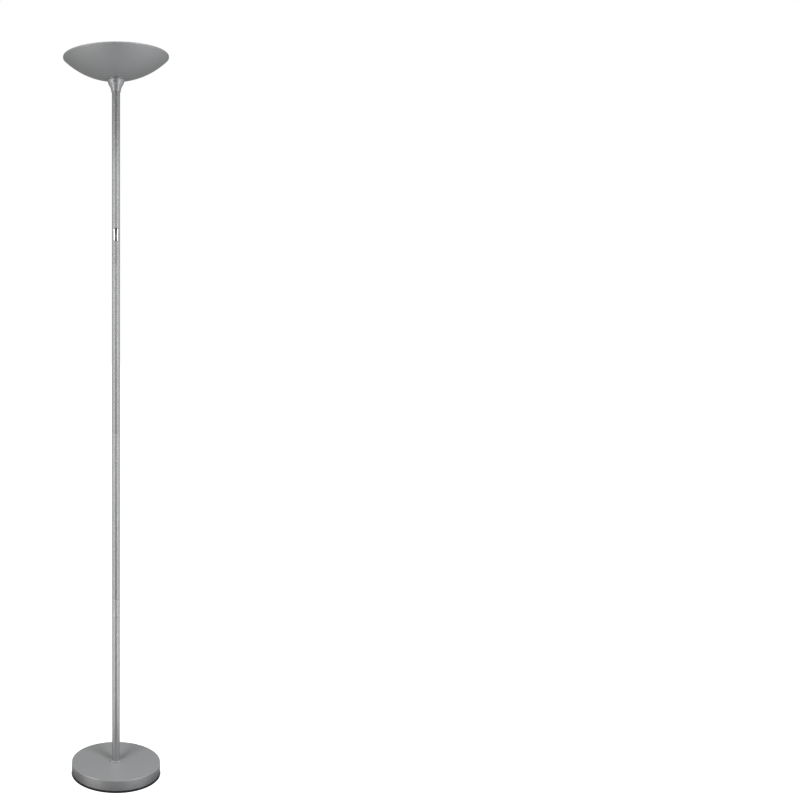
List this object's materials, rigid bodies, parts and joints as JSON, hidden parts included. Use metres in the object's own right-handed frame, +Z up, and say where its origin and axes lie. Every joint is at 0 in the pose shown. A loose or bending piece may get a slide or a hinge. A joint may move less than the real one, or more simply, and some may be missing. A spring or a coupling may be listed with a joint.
{
  "type": "torchiere floor lamp",
  "caption": "Floor uplighter: round weighted foot, straight screwed pole with a rocker switch, bell-shaped neck and a wide shallow bowl shade holding an LED light engine.",
  "frame": {"origin": "centre of the foot's underside, on the floor", "axes": "+Z up along the pole, -Y towards the rocker switch, +Y towards the cord inlet"},
  "size_m": [0.2586, 0.2586, 1.7999],
  "materials": {
    "silver_paint": "satin metallic silver-grey paint",
    "black_plate": "black paint",
    "cast_iron": "raw casting",
    "zinc": "zinc plated",
    "brass": "bare",
    "chrome": "plated plastic",
    "black_plastic": "matt black",
    "white_plastic": "matt white",
    "opal": "opal acrylic",
    "felt": "black felt pad",
    "rubber": "matt black",
    "aluminium": "mill finish",
    "phosphor": "phosphor coated chips",
    "blue_wire": "insulation",
    "brown_wire": "insulation",
    "red_wire": "insulation"
  },
  "bodies": {
    "lamp": {"foot_pads": "felt", "foot_bottom_plate": "black_plate", "bottom_plate_screws": "zinc", "foot_cover": "silver_paint", "foot_weight": "cast_iron", "foot_washer": "zinc", "foot_nut": "zinc", "foot_nipple": "zinc", "foot_collar": "silver_paint", "cord_grommet": "rubber", "terminal_block": "white_plastic", "terminal_inserts": "brass", "pole_tube_1": "silver_paint", "pole_tube_2": "silver_paint", "pole_tube_3": "silver_paint", "pole_tube_4": "silver_paint", "tube_bushes": "zinc", "joint_nipples": "zinc", "switch_housing": "black_plastic", "switch_terminals": "brass", "neutral_wire": "blue_wire", "live_wire_lower": "brown_wire", "live_wire_upper": "brown_wire", "neck_cup": "silver_paint", "neck_gasket": "rubber", "neck_nipple": "zinc", "neck_washer": "zinc", "neck_nut": "zinc", "shade_bowl": "silver_paint", "plate_pillars": "zinc", "heat_plate": "aluminium", "plate_screws": "zinc", "led_board": "white_plastic", "led_chips": "phosphor", "led_driver": "white_plastic", "driver_screws": "zinc", "led_leads": "red_wire", "diffuser_ring": "white_plastic", "diffuser": "opal"},
    "rocker": {"switch_rocker": "chrome", "switch_plunger": "zinc", "switch_spring": "zinc"},
    "contact_arm": {"switch_contact_arm": "brass"}
  },
  "joints": [
    {"name": "rocker_tilt", "type": "hinge", "parent": "lamp", "child": "rocker", "pos_m": [0, -0.0062, 1.37], "axis": [1, 0, 0], "range_deg": [-12, 0]},
    {"name": "contact_tilt", "type": "hinge", "parent": "lamp", "child": "contact_arm", "pos_m": [0, 0.0007, 1.37], "axis": [1, 0, 0], "range_deg": [0, 10]}
  ],
  "couplings": [
    {"joint": "contact_tilt", "follows": "rocker_tilt", "ratio": -0.833}
  ]
}
